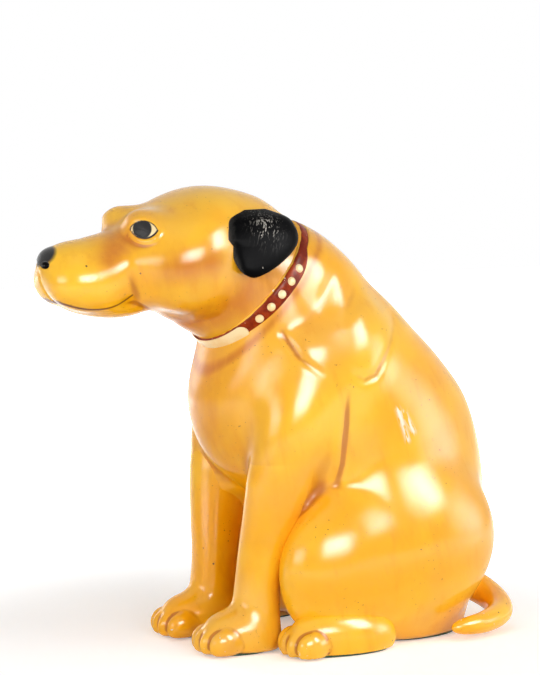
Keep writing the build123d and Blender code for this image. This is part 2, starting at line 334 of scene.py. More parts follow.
def noise(tree, place, scale, detail=2.0, roughness=0.5):
    """Cloudy values from 0 to 1; scale counts the clouds in a metre."""
    inputs = {"Vector": place, "Scale": scale, "Detail": detail, "Roughness": roughness}
    return wire(tree, "TexNoise", inputs)


def stretched(tree, place, scale, turn=(0, 0, 0)):
    """Object coordinates turned back, then stretched: streaks along Z that lean by the turn."""
    sizes = tuple(1 / each for each in scale)
    return wire(tree, "Mapping", {"Vector": place, "Scale": sizes, "Rotation": turn}, vector_type="TEXTURE")


def pits(tree, place, scale, size, share, core=0.5, step=0.01):
    """1 in round pinholes of a size, in a share of a pattern's cells, else 0: full within the core of the
    size, with the cells chosen by a narrow step in their random colour."""
    cells = tree.nodes.new("ShaderNodeTexVoronoi")
    cells.inputs["Scale"].default_value = scale
    tree.links.new(place, cells.inputs["Vector"])
    hole = rise(tree, cells.outputs["Distance"], size, size * core)
    chosen = rise(tree, cells.outputs["Color"], 1 - share, 1 - share + step)
    return times(tree, hole, chosen)


YELLOW, LIGHT_YELLOW = paint(246, 172, 4), paint(250, 190, 34)
OCHRE_WASH, BRUSHED_AMBER = paint(224, 160, 70), paint(226, 142, 2)
FOLD_AMBER_AND_SHADE, SHADE_AMBER = paint(180, 94, 0), paint(198, 108, 0)
SPECK_BROWN, PINHOLE_BROWN = paint(150, 84, 6), paint(96, 52, 6)
PLASTER_WHITE = paint(244, 236, 220)


def yellow_paint(name, marks=()):
    """Yellow gloss paint: two clouded yellows, an ochre wash, amber brushed in streaks, amber in the folds
    that is partly paint worked into them and partly painted shade, painted amber shade where the amber
    attribute is high, brown specks, pinholes, and wear down to white plaster on ridges and scratches, under
    a varnish.
    Marks are painted details: an attribute, negative inside, the softness of its edge and a colour."""
    material, tree, gloss = shader(name)
    place = wire(tree, "TexCoord", {}, "Object")
    cloud = noise(tree, place, 14, 3)
    colour = over(tree, rise(tree, cloud, 0.36, 0.64), YELLOW, LIGHT_YELLOW)
    wash = noise(tree, place, 9, 2)
    colour = over(tree, times(tree, rise(tree, wash, 0.48, 0.68), 0.5), colour, OCHRE_WASH)
    streaks = noise(tree, stretched(tree, place, (90, 90, 22), (0.2, 0, 0)), 1.0, 4, 0.6)
    colour = over(tree, times(tree, rise(tree, streaks, 0.5, 0.78), 0.35), colour, BRUSHED_AMBER)
    fold = wire(tree, "Attribute", {}, "Fac", attribute_name="hollow")
    shade = plus(tree, fold, times(tree, streaks, 0.2))
    # Amber in the folds, by their depth: partly paint worked into them, partly painted shade.
    colour = over(tree, times(tree, rise(tree, shade, 0.1, 1.4), 0.8), colour, FOLD_AMBER_AND_SHADE)
    # The amber attribute marks painted shade: the chest front, a band below the collar and patches on the
    # head.
    amber = wire(tree, "Attribute", {}, "Fac", attribute_name="amber")
    painted_amber_shade = times(tree, amber, rise(tree, plus(tree, cloud, streaks), 0.4, 1.1))
    colour = over(tree, times(tree, painted_amber_shade, 0.85), colour, SHADE_AMBER)
    specks = noise(tree, place, 420, 2)
    speckled = times(tree, rise(tree, specks, 0.68, 0.73), rise(tree, noise(tree, place, 24), 0.46, 0.62))
    colour = over(tree, times(tree, speckled, 0.8), colour, SPECK_BROWN)
    pinholes = pits(tree, place, 100, 0.1, 0.18)
    colour = over(tree, pinholes, colour, PINHOLE_BROWN)
    ridge = wire(tree, "Math", {0: times(tree, fold, -0.5), 1: 0.5}, operation="MINIMUM")
    worn = rise(tree, plus(tree, ridge, times(tree, noise(tree, place, 260, 4), 0.9)), 1.12, 1.16)
    scratch = wire(tree, "Attribute", {}, "Fac", attribute_name="scratch")
    hairs = noise(tree, stretched(tree, place, (700, 380, 60), (0.25, 0, 0)), 1.0, 2)
    bare = plus(tree, worn, times(tree, scratch, rise(tree, hairs, 0.44, 0.5)))
    colour = over(tree, bare, colour, PLASTER_WHITE)
    for attribute, softness, mark_colour in marks:
        mark = wire(tree, "Attribute", {}, "Fac", attribute_name=attribute)
        colour = over(tree, rise(tree, mark, softness, -softness), colour, mark_colour)
    tree.links.new(colour, gloss.inputs["Base Color"])
    rough = wire(tree, "MapRange", {"Value": cloud, "To Min": 0.36, "To Max": 0.5})
    tree.links.new(rough, gloss.inputs["Roughness"])
    gloss.inputs["Specular IOR Level"].default_value = 0.0
    gloss.inputs["Coat Weight"].default_value = 0.85
    gloss.inputs["Coat Roughness"].default_value = 0.15
    relief = plus(tree, times(tree, streaks, 0.35), times(tree, noise(tree, place, 60, 3), 0.9))
    relief = plus(tree, relief, times(tree, pinholes, -1.5))
    bump = wire(tree, "Bump", {"Height": relief, "Strength": 0.3, "Distance": 0.0006})
    tree.links.new(bump, gloss.inputs["Normal"])
    return material


# Each scratch of the left flank: its line in y and z.
SCRATCH_LINES = (((73, 185), (77, 173), (81, 161)), ((79, 182), (87, 167)))
SCRATCH_WIDTH = 2.0
# Where the painted amber shade lies on the chest front and below the collar, its spread and its strength.
CHEST_Y, CHEST_SPREAD, CHEST_SHADE = -60.0, 26.0, 0.45
COLLAR_SHADE_DROP, COLLAR_SHADE_SPREAD = 9.0, 3.0

torso = spokes(between(TORSO, np.linspace(0, 1, BODY_ROWS)), BODY_COLUMNS)
body_grid = cast(*torso, body_gap)
for fold_place, fold_reach in GRAZED_FOLDS:
    body_grid = relaxed(body_grid, fold_place, fold_reach)
scratched = sum(np.exp(-(beside_line(body_grid, line)[0] / SCRATCH_WIDTH) ** 2) for line in SCRATCH_LINES)
scratched = np.where(body_grid[..., 0] > 0, scratched, 0)
# Painted shade in amber: over the front of the chest, and in a narrow band just below the collar for the
# shadow it casts.
chest = CHEST_SHADE * np.exp(-((body_grid[..., 1] - CHEST_Y) / CHEST_SPREAD) ** 2)
from_collar = (body_grid - NECK_CENTRE) @ NECK_UP
collar_shadow = np.exp(-((from_collar + COLLAR_SHADE_DROP) / COLLAR_SHADE_SPREAD) ** 2)
body = piece("painted_body", body_grid, hollow=hollows(body_grid), scratch=scratched,
             amber=np.maximum(chest, collar_shadow))
body.data.materials.append(yellow_paint("yellow gloss paint"))
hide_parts("body_casting")


# Hind feet: part of the body casting, each a long paw with four toes under the knee, painted like the body.
# The sole is trimmed flat and stands on felt.

# The left foot and a toe: x, y, z, half sizes across, along and up, and turn about X. A toe's own x and y
# follow from its foot.
HIND_FOOT = (76, 24, 13, 20, 46, 24, -4)
TOE = (0, 0, 9, 6.8, 13, 12, -10)
TOES, TOE_SPREAD, TOE_FILLET = 4, 10.5, 3.0
FOOT_ROWS, FOOT_COLUMNS = 150, 220


def paw_gap(points, foot):
    """Gap to a foot: its mass and the toes side by side at its front, the outer ones a little behind."""
    gap = mass_gap(points, foot)
    middle_x, middle_y, half_length = foot[0], foot[1], foot[4]
    toe_half_width, toe_half_length = TOE[3], TOE[4]
    front = middle_y - half_length + toe_half_length / 2
    for index in range(TOES):
        aside = index - (TOES - 1) / 2
        toe = (middle_x + aside * TOE_SPREAD, front + abs(aside) * toe_half_width / 2, *TOE[2:])
        gap = melt(gap, mass_gap(points, toe), TOE_FILLET)
    return gap


def globe(centre, rows, columns, pole=0.002):
    """Axis point, directions and lengths of spokes from one centre, from straight down to straight up, each
    end short of the pole by a small share of the way."""
    tilt = np.pi * (np.linspace(pole, 1 - pole, rows)[:, None] - 0.5)
    turn = 2 * np.pi * np.arange(columns) / columns
    level = np.cos(tilt)
    heading = np.broadcast_arrays(level * np.cos(turn), level * np.sin(turn), np.sin(tilt))
    return np.array(centre, float), np.stack(heading, -1), np.zeros((rows, columns))


def hind_foot_gap(points, _):
    """Gap to a hind foot: the paw, cut off by the flat of its sole."""
    return np.maximum(paw_gap(points, HIND_FOOT) + hand_finish(points), felt_top - points[..., 2])


def mirrored(grid):
    """The same grid for the right side, its columns turned round to keep its outside out."""
    return (grid * (-1, 1, 1))[:, ::-1]


foot_grid = cast(*globe(HIND_FOOT[:3], FOOT_ROWS, FOOT_COLUMNS), hind_foot_gap)
for side, grid in (("left", foot_grid), ("right", mirrored(foot_grid))):
    foot = piece(f"painted_{side}_hind_foot", grid, hollow=hollows(grid))
    foot.data.materials.append(body.data.materials[0])
    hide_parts("body_casting")


# Forelegs: solid plaster castings over an iron rod, luted to the upper arms and painted like the body.
# The slip of the joint is wiped smooth, so the leg runs up just under the arm's surface.
FOREPAW = (38, -46, 13, 20, 31, 21, -6)
WRIST_FILLET = 9.0
LEG_JOINT_Z, LEG_JOINT_RUN, LEG_TOP_Z, UNDER_ARM = 131.0, 20.0, 190.0, 0.9
LEG_ROWS, LEG_COLUMNS = 230, 220

leg_levels = np.linspace(felt_top, LEG_TOP_Z, LEG_ROWS)
leg_x, leg_y = (np.interp(leg_levels, limb_ovals[:, 2], limb_ovals[:, column]) for column in (0, 1))
leg_axis = np.stack([leg_x, leg_y, leg_levels], -1)[:, None]
leg_turn = 2 * np.pi * np.arange(LEG_COLUMNS) / LEG_COLUMNS
leg_directions = np.stack([np.cos(leg_turn), np.sin(leg_turn), 0 * leg_turn], -1)[None]


def foreleg_gap(points, _):
    """Gap to a foreleg: the limb and its paw run together, a hair smaller above the joint."""
    height = points[..., 2]
    joint = np.clip((height - LEG_JOINT_Z) / LEG_JOINT_RUN, 0, 1)
    leg = melt(limb_gap(points, UNDER_ARM * joint), paw_gap(points, FOREPAW), WRIST_FILLET)
    return leg + hand_finish(points) + foot_rounding(height)


leg_grid = cast(leg_axis, leg_directions, np.zeros((LEG_ROWS, LEG_COLUMNS)), foreleg_gap)
for side, grid in (("left", leg_grid), ("right", mirrored(leg_grid))):
    leg = piece(f"painted_{side}_foreleg", grid, hollow=hollows(grid))
    leg.data.materials.append(body.data.materials[0])
    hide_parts(f"{side}_foreleg")


# Tail: a solid plaster casting on a wire from the rump, curled round the left haunch. It is luted to the
# rump and painted like the body.
TAIL_ROUTE = np.array([(0, 166, 36), (18, 184, 24), (52, 180, 16), (77, 152, 12.5), (86, 116, 11.5)], float)
TAIL_ROOT_RADIUS, TAIL_TIP_RADIUS = 13.0, 7.0
TAIL_TIP_CLOSED, TAIL_TIP_POWER = 0.995, 14
TAIL_ROWS, TAIL_COLUMNS = 160, 64


def tube(route, radii, columns, aside):
    """Grid of circles round a route; each circle is square to the route, turned from a fixed side."""
    heading = np.gradient(route, axis=0)
    heading /= np.linalg.norm(heading, axis=1, keepdims=True)
    side = np.cross(heading, aside)
    side /= np.linalg.norm(side, axis=1, keepdims=True)
    top = np.cross(heading, side)
    turn = 2 * np.pi * np.arange(columns) / columns
    ring = np.cos(turn)[None, :, None] * side[:, None] + np.sin(turn)[None, :, None] * top[:, None]
    return route[:, None] + radii[:, None, None] * ring


tail_share = np.linspace(0, 1, TAIL_ROWS)
tail_route = between(TAIL_ROUTE, tail_share)
tail_radii = TAIL_ROOT_RADIUS + (TAIL_TIP_RADIUS - TAIL_ROOT_RADIUS) * tail_share
tail_radii *= np.sqrt(1 - TAIL_TIP_CLOSED * tail_share ** TAIL_TIP_POWER)
tail_grid = tube(tail_route, tail_radii, TAIL_COLUMNS, (0, 0, 1))
tail = piece("painted_tail", tail_grid, hollow=hollows(tail_grid))
tail.data.materials.append(body.data.materials[0])
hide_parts("tail")


# Head: a hollow plaster casting from the collar to the nose, socketed over the neck spigot. It is painted
# like the body, with a black nose and black eyes on white, and a brown line between the lips.

# Cross-sections and rounded masses have their values in the same order as the body's.
HEAD = np.array([
    (NECK_Y, NECK_Z, NECK_LEAN, NECK_REACH, NECK_REACH, NECK_HALF_WIDTH),
    (-48, 302, 58, 60, 56, 52),
    (-80, 312, 72, 54, 47, 55),
    (-110, 307, 84, 43, 36, 46),
    (-137, 297, 90, 29, 27, 34),
    (-158, 294, 92, 20, 20, 24),
])
HEAD_MASSES = (
    (34, -84, 298, 24, 38, 33, 0, 14),
    (20, -107, 323, 21, 26, 16, -30, 10),
    (0, -150, 296, 30, 42, 23, 0, 12),
    (0, -175, 293, 23, 16, 20, 0, 12),
    (15, -157, 285, 18, 33, 20, -4, 8),
    (0, -141, 272, 23, 39, 13, -4, 3),
)
NOSE, NOSE_FILLET = (0, -183, 303, 15, 11, 11, -12), 3.0
NOSTRIL, NOSTRIL_FILLET = (8.5, -191, 301, 3.6, 5, 2.4, 0), 1.5
# The parting below the nose: half its width, its depth, and where it starts and how fast, in y and in z.
PARTING_HALF, PARTING_DEPTH = 2.2, 1.4
PARTING_Y, PARTING_Y_RUN, PARTING_Z, PARTING_Z_RUN = -178.0, 8.0, 298.0, 6.0
# The eye, seen square to the skin from the front left: its middle, the way it faces and its almond outline.
EYE, EYE_AZIMUTH, EYE_TILT = (36.0, -124.0, 327.5), 63.0, 3.0
EYE_HALF_WIDTH, EYE_HALF_HEIGHT, EYE_REACH = 10.5, 6.4, 24.0
IRIS_FORWARD, IRIS_RAISED, IRIS_RADIUS = 1.2, 0.4, 7.2
LID_PROUD, LID_WIDTH, EYE_CROWN = 1.1, 2.4, 1.2
LIPS = np.array([(-230, 279), (-196, 279), (-180, 272), (-160, 268), (-143, 270), (-130, 278)], float)
LIP_STEPS, LIP_LINE_HALF = 40, 0.7
UPPER_LID_LINE_HALF, LOWER_LID_LINE_HALF, NOSE_PAINT = 0.42, 0.7, 0.9
HEAD_CREASES = (
    (((-137, 306), (-131, 287), (-124, 268)), 6.0, 1.3),
    (((-98, 268), (-85, 264), (-70, 268)), 3.0, 1.0),
    (((-90, 254), (-76, 254), (-60, 261)), 3.5, 1.1),
)
HEAD_ROWS, MUZZLE_ROWS, HEAD_COLUMNS = 200, 70, 320
HEAD_OUTSIDE, MUZZLE_POLE = 45.0, 0.004


def carve(gap, other, fillet):
    """Gap to a form with another taken out of it, the edge rounded over."""
    return -melt(-gap, other, fillet)


def eye_outline(points):
    """How far points lie outside the almond of the eye, where two circles overlap, outside the iris and
    above the eye's middle, all seen square to the eye. Points far from the eye are outside."""
    x, y, z = np.moveaxis(points - EYE, -1, 0)
    facing, tilt = np.radians(EYE_AZIMUTH), np.radians(EYE_TILT)
    level = x * np.cos(facing) + y * np.sin(facing)
    along, up = level * np.cos(tilt) - z * np.sin(tilt), z * np.cos(tilt) + level * np.sin(tilt)
    radius = (EYE_HALF_WIDTH ** 2 + EYE_HALF_HEIGHT ** 2) / (2 * EYE_HALF_HEIGHT)
    offset = radius - EYE_HALF_HEIGHT
    almond = np.maximum(np.hypot(along, up - offset), np.hypot(along, up + offset)) - radius
    almond = np.maximum(almond, np.linalg.norm(points - EYE, axis=-1) - EYE_REACH)
    iris = np.hypot(along + IRIS_FORWARD, up - IRIS_RAISED) - IRIS_RADIUS
    return almond, iris, up


def head_gap(points, gap):
    """Gap to the head: skull, muzzle, cheeks, brows and jaw run together, with the creases, the parting and
    the nostrils cut in and the lids, the eyes and the nose set on."""
    left = left_side(points)
    for *mass, fillet in HEAD_MASSES:
        gap = melt(gap, mass_gap(left, mass), fillet)
    almond = eye_outline(left)[0]
    lids = LID_PROUD * np.exp(-((almond - LID_WIDTH) / LID_WIDTH) ** 2)
    eyeball = EYE_CROWN * np.sqrt(np.clip(-almond / EYE_HALF_HEIGHT, 0, 1))
    gap = gap + creased(left, HEAD_CREASES) + hand_finish(points) - lids - eyeball
    x, y, z = np.moveaxis(points, -1, 0)
    parting = PARTING_DEPTH * np.exp(-(x / PARTING_HALF) ** 2)
    parting *= np.clip((PARTING_Y - y) / PARTING_Y_RUN, 0, 1)
    parting *= np.clip((PARTING_Z - z) / PARTING_Z_RUN, 0, 1)
    gap = melt(gap + parting, mass_gap(left, NOSE), NOSE_FILLET)
    return carve(gap, mass_gap(left, NOSTRIL), NOSTRIL_FILLET)


skull = spokes(between(HEAD, np.linspace(0, 1, HEAD_ROWS)), HEAD_COLUMNS)
muzzle_end = HEAD[-1]
swing = np.linspace(0, np.pi / 2 - MUZZLE_POLE, MUZZLE_ROWS + 1)[1:, None, None]
end_axis, end_directions, end_lengths = spokes(muzzle_end[None], HEAD_COLUMNS)
end_lean = np.radians(muzzle_end[2])
ahead = np.array([0, -np.sin(end_lean), np.cos(end_lean)])
head_axis = np.concatenate([skull[0], end_axis.repeat(MUZZLE_ROWS, axis=0)])
head_directions = np.concatenate([skull[1], np.cos(swing) * end_directions + np.sin(swing) * ahead])
head_lengths = np.concatenate([skull[2], end_lengths.repeat(MUZZLE_ROWS, axis=0)])
head_grid = cast(head_axis, head_directions, head_lengths, head_gap, HEAD_OUTSIDE)

head_left = left_side(head_grid)
almond, iris, above_eye = eye_outline(head_left)
# Each patch of amber painted as shade on the head: its line in y and z, and its width.
SHADE_PATCHES = (
    (((-108, 298), (-80, 303)), 13),
    (((-95, 247), (-74, 255), (-50, 270), (-36, 290)), 18),
    (((-150, 305), (-137, 318)), 9),
)
head_shade = sum(np.exp(-(beside_line(head_left, line)[0] / width) ** 2) for line, width in SHADE_PATCHES)
lid_line_half = np.where(above_eye > 0, UPPER_LID_LINE_HALF, LOWER_LID_LINE_HALF)
from_lips = beside_line(head_left, between(LIPS, np.linspace(0, 1, LIP_STEPS)))[0]
head = piece("painted_head", head_grid, hollow=hollows(head_grid), eye_white=almond,
             iris=np.maximum(iris, almond), lid=np.abs(almond) - lid_line_half,
             nose=mass_gap(head_left, NOSE) - NOSE_PAINT, amber=head_shade, lips=from_lips - LIP_LINE_HALF)
# Each painted mark: the attribute that is negative inside it, the softness of its edge and its colour.
HEAD_MARKS = (
    ("eye_white", 0.3, paint(240, 214, 160)),
    ("iris", 0.4, paint(14, 12, 11)),
    ("lid", 0.3, paint(20, 16, 14)),
    ("nose", 0.5, paint(22, 20, 19)),
    ("lips", 0.5, paint(120, 62, 6)),
)
head.data.materials.append(yellow_paint("yellow gloss paint of the head", HEAD_MARKS))
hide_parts("head_casting")


# Ears: plaster leaves cast on their own, pegged into the sides of the head and hanging close to it.
# They are painted gloss black, with soft grey along their rims as a painted sheen, and dry brushed with pale
# grey on one patch.

# Each level oval of the left ear, from its root down: x, y, z, half sizes across and along.
EAR = np.array([
    (33, -34, 340, 5, 14),
    (43, -32, 335, 7, 24),
    (51, -31, 326, 7.5, 29.5),
    (56, -32, 315, 7, 29.5),
    (59, -37, 303, 6, 21.5),
    (60, -42, 294.5, 4.5, 12),
    (60, -44, 290, 2.5, 5),
], float)
# The leaf bends in with the square of the distance from its middle line, its outer face is dished along that
# line, and it has a lobe at the front of its upper half.
EAR_WRAP = 0.006
EAR_DISH, EAR_DISH_HALF = 0.3, 0.75
EAR_LOBE, EAR_LOBE_Z, EAR_LOBE_RUN = 8.0, 314.0, 5.0
EAR_TIP_POWER, EAR_RIM_POWER = 30, 3
BRUSHED_Y, BRUSHED_Z, BRUSHED_SIZE = -31.0, 328.0, 9.0
EAR_ROWS, EAR_COLUMNS = 160, 160

ear_share = np.linspace(0, 1, EAR_ROWS)
ear_levels = between(EAR[:, [1, 2, 0, 3, 4]], ear_share)
ear_y, ear_z, ear_x, ear_across, ear_along = (column[:, None] for column in ear_levels.T)

BLACK, RIM_SHEEN_GREY = paint(5, 5, 6), paint(120, 117, 112)
DRY_GREY, EAR_CHIP = paint(206, 200, 190), paint(236, 228, 214)


def black_paint(name):
    """Black gloss paint: soft grey along the rim as a painted sheen, dry strokes of pale grey where brushed,
    and chips.
    """
    material, tree, gloss = shader(name)
    place = wire(tree, "TexCoord", {}, "Object")
    strokes = noise(tree, stretched(tree, place, (160, 160, 40), (-0.4, 0, 0)), 1.0, 5, 0.65)
    # The grey along the rim is a painted sheen, broken up by the strokes.
    rim = wire(tree, "Attribute", {}, "Fac", attribute_name="rim")
    grey = times(tree, rise(tree, plus(tree, rim, times(tree, strokes, 0.8)), 0.95, 1.5), 0.25)
    colour = over(tree, grey, BLACK, RIM_SHEEN_GREY)
    brushed = wire(tree, "Attribute", {}, "Fac", attribute_name="brushed")
    bristles = noise(tree, stretched(tree, place, (700, 700, 45), (-0.35, 0, 0)), 1.0, 2)
    dry = times(tree, brushed, rise(tree, bristles, 0.54, 0.66))
    colour = over(tree, times(tree, dry, 0.75), colour, DRY_GREY)
    chips = rise(tree, noise(tree, place, 240, 4), 0.74, 0.76)
    colour = over(tree, chips, colour, EAR_CHIP)
    tree.links.new(colour, gloss.inputs["Base Color"])
    rough = wire(tree, "MapRange", {"Value": strokes, "To Min": 0.3, "To Max": 0.5})
    tree.links.new(rough, gloss.inputs["Roughness"])
    gloss.inputs["Specular IOR Level"].default_value = 0.015
    bump = wire(tree, "Bump", {"Height": strokes, "Strength": 0.35, "Distance": 0.0006})
    tree.links.new(bump, gloss.inputs["Normal"])
    return material


ear_turn = 2 * np.pi * np.arange(EAR_COLUMNS) / EAR_COLUMNS
ear_out, ear_side = np.cos(ear_turn)[None], np.sin(ear_turn)[None]
ear_dish = EAR_DISH * np.clip(1 - (ear_side / EAR_DISH_HALF) ** 2, 0, 1) * np.sin(np.pi * ear_share[:, None])
ear_dish *= ear_out > 0
ear_tip = np.sqrt(1 - ear_share[:, None] ** EAR_TIP_POWER)
ear_lobe = EAR_LOBE * np.clip((ear_z - EAR_LOBE_Z) / EAR_LOBE_RUN, 0, 1) * np.clip(-ear_side, 0, 1)
ear_grid = np.stack(np.broadcast_arrays(
    ear_x + ear_tip * ear_across * ear_out * (1 - ear_dish) - EAR_WRAP * (ear_along * ear_side) ** 2,
    ear_y + ear_tip * ear_along * ear_side - ear_lobe,
    ear_z + 0 * ear_side,
), -1)[::-1]
for side, grid in (("left", ear_grid), ("right", mirrored(ear_grid))):
    spread = np.abs(grid[..., 1] - ear_y[::-1]) / ear_along[::-1]
    from_brush = np.hypot(grid[..., 1] - BRUSHED_Y, grid[..., 2] - BRUSHED_Z) / BRUSHED_SIZE
    ear = piece(f"painted_{side}_ear", grid, rim=spread ** EAR_RIM_POWER, brushed=np.exp(-from_brush ** 2))
    ear.data.materials.append(black_paint(f"black gloss paint of the {side} ear"))
    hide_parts(f"{side}_ear")


# Collar band: a flat plaster ring in a rebate round the neck joint, with rounded edges. Its face is painted
# red-brown and chipped; its edges keep the yellow of the body, which also serves as a painted highlight
# along them.
BAND_WIDTH, BAND_PROUD, BAND_REBATE, BAND_EDGE = 14.0, 2.6, 5.0, 1.4
BAND_ROWS, BAND_COLUMNS = 420, 48
NECK_BACK = np.array([0, np.cos(neck_lean), np.sin(neck_lean)])
BAND_BROWN, BAND_RED = paint(116, 28, 0), paint(160, 54, 4)
EDGE_YELLOW_AND_HIGHLIGHT, BAND_CHIP = paint(252, 196, 74), paint(242, 232, 216)


def round_the_neck(turn, proud, up):
    """Points round the neck from an angle, a height off its oval and a height along it."""
    backwards = (NECK_REACH + proud) * np.sin(turn)
    points = NECK_CENTRE + backwards[..., None] * NECK_BACK + up[..., None] * NECK_UP
    points[..., 0] += (NECK_HALF_WIDTH + proud) * np.cos(turn)
    return points


def rounded_outline(columns, half_width, half_height, rounding):
    """Closed outline of a flat bar: an ellipse of a high power, with flat sides and round corners."""
    turn = 2 * np.pi * np.arange(columns) / columns
    power = 2 * rounding / half_height
    across = np.sign(np.cos(turn)) * np.abs(np.cos(turn)) ** power
    up = np.sign(np.sin(turn)) * np.abs(np.sin(turn)) ** power
    return half_width * across, half_height * up


def collar_paint(name):
    """Red-brown gloss paint in streaks, chipped to plaster, with yellow on the ragged edges: the body's
    paint left there, and a painted highlight along them.
    """
    material, tree, gloss = shader(name)
    place = wire(tree, "TexCoord", {}, "Object")
    streaks = noise(tree, stretched(tree, place, (60, 120, 120)), 1.0, 4, 0.6)
    colour = over(tree, rise(tree, streaks, 0.4, 0.68), BAND_BROWN, BAND_RED)
    # Pale yellow along both edges: the body's paint, and a painted highlight where the rounded edges catch
    # the light.
    edge = wire(tree, "Attribute", {}, "Fac", attribute_name="edge")
    ragged = plus(tree, edge, times(tree, noise(tree, place, 160, 3), 0.3))
    colour = over(tree, rise(tree, ragged, 0.94, 1.02), colour, EDGE_YELLOW_AND_HIGHLIGHT)
    chips = rise(tree, noise(tree, place, 190, 4), 0.69, 0.71)
    colour = over(tree, chips, colour, BAND_CHIP)
    tree.links.new(colour, gloss.inputs["Base Color"])
    rough = wire(tree, "MapRange", {"Value": streaks, "To Min": 0.28, "To Max": 0.4})
    tree.links.new(rough, gloss.inputs["Roughness"])
    gloss.inputs["Specular IOR Level"].default_value = 0.03
    gloss.inputs["Coat Weight"].default_value = 0.14
    gloss.inputs["Coat Roughness"].default_value = 0.12
    relief = plus(tree, times(tree, streaks, 0.5), times(tree, chips, -1.0))
    bump = wire(tree, "Bump", {"Height": relief, "Strength": 0.4, "Distance": 0.0006})
    tree.links.new(bump, gloss.inputs["Normal"])
    return material


def ring_piece(name, grid, **values):
    """Closed piece of a grid that joins up both ways, like a ring."""
    rows, columns = grid.shape[:2]
    place = np.arange(rows * columns).reshape(rows, columns)
    ahead, above = np.roll(place, -1, axis=1), np.roll(place, -1, axis=0)
    quads = np.stack([place, ahead, np.roll(ahead, -1, axis=0), above], -1).reshape(-1, 4)
    values = {key: value.ravel() for key, value in values.items()}
    return figure_piece(name, grid.reshape(-1, 3), quads.tolist(), values)


band_turn = 2 * np.pi * np.arange(BAND_ROWS)[:, None] / BAND_ROWS
band_up, band_out = rounded_outline(BAND_COLUMNS, BAND_WIDTH / 2, (BAND_PROUD + BAND_REBATE) / 2, BAND_EDGE)
band_proud = band_out[None] + (BAND_PROUD - BAND_REBATE) / 2
band_grid = round_the_neck(*np.broadcast_arrays(band_turn, band_proud, band_up[None]))
band_edge = np.abs(band_up[None] / (BAND_WIDTH / 2)) ** 2 + 0 * band_turn
band = ring_piece("painted_collar_band", band_grid[:, ::-1], edge=band_edge[:, ::-1])
band.data.materials.append(collar_paint("red-brown gloss paint"))
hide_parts("collar_band")


# Collar plate: a thin strip with round ends, bent to the front of the band and stuck on, painted cream and
# left bare.
PLATE_LENGTH, PLATE_WIDTH, PLATE_PROUD, PLATE_SINK, PLATE_EDGE = 99.5, 12.0, 1.2, 0.4, 0.35
PLATE_TIP_GAP, PLATE_TIP_HALF = 0.02, 0.1
PLATE_ROWS, PLATE_COLUMNS = 220, 40
FRONT, BAND_STEPS = -np.pi / 2, 4001
CREAM, DEEP_CREAM, CREAM_SPECK = paint(252, 228, 176), paint(246, 208, 142), paint(140, 84, 30)
dense_turn = np.linspace(FRONT - np.pi, FRONT + np.pi, BAND_STEPS)
dense_oval = round_the_neck(dense_turn, BAND_PROUD + 0 * dense_turn, 0 * dense_turn)
dense_length = np.concatenate([[0], np.cumsum(np.linalg.norm(np.diff(dense_oval, axis=0), axis=1))])
dense_length -= dense_length[-1] / 2


def turn_at(along):
    """Angle round the neck at a distance along the band from the front, by the band's length up to there."""
    return np.interp(along, dense_length, dense_turn)


def cream_paint(name):
    """Cream gloss paint, yellowed in clouds, with brown specks."""
    material, tree, gloss = shader(name)
    place = wire(tree, "TexCoord", {}, "Object")
    cloud = noise(tree, place, 70, 4)
    colour = over(tree, rise(tree, cloud, 0.4, 0.7), CREAM, DEEP_CREAM)
    specks = rise(tree, noise(tree, place, 500, 2), 0.72, 0.76)
    colour = over(tree, times(tree, specks, 0.7), colour, CREAM_SPECK)
    tree.links.new(colour, gloss.inputs["Base Color"])
    rough = wire(tree, "MapRange", {"Value": cloud, "To Min": 0.26, "To Max": 0.42})
    tree.links.new(rough, gloss.inputs["Roughness"])
    gloss.inputs["Specular IOR Level"].default_value = 0.1
    gloss.inputs["Coat Weight"].default_value = 0.4
    gloss.inputs["Coat Roughness"].default_value = 0.12
    bump = wire(tree, "Bump", {"Height": cloud, "Strength": 0.2, "Distance": 0.0005})
    tree.links.new(bump, gloss.inputs["Normal"])
    return material


plate_share = np.sin(np.linspace(-np.pi / 2, np.pi / 2, PLATE_ROWS))
plate_along = plate_share * (PLATE_LENGTH / 2 - PLATE_TIP_GAP)
plate_end = np.maximum(np.abs(plate_along) - (PLATE_LENGTH - PLATE_WIDTH) / 2, 0)
plate_half = np.sqrt(np.maximum((PLATE_WIDTH / 2) ** 2 - plate_end ** 2, PLATE_TIP_HALF ** 2))
plate_up, plate_out = rounded_outline(PLATE_COLUMNS, 1.0, (PLATE_PROUD + PLATE_SINK) / 2, PLATE_EDGE)
plate_proud = BAND_PROUD + (PLATE_PROUD - PLATE_SINK) / 2 + plate_out[None]
plate_grid = round_the_neck(*np.broadcast_arrays(
    turn_at(plate_along)[:, None], plate_proud, plate_half[:, None] * plate_up[None],
))
plate = piece("painted_collar_plate", plate_grid[:, ::-1])
plate.data.materials.append(cream_paint("cream gloss paint of the plate"))
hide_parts("collar_plate")


# Collar studs: ten round domes, five on each side of the plate, their shanks set through the band and
# painted cream.
STUD_RADIUS, STUD_HEIGHT, STUD_PITCH, STUDS_PER_SIDE, STUD_GAP = 3.5, 1.8, 12.7, 5, 13.0
STUD_SINK, STUD_FULLNESS = 0.8, 0.8
STUD_RINGS, STUD_COLUMNS = 12, 32

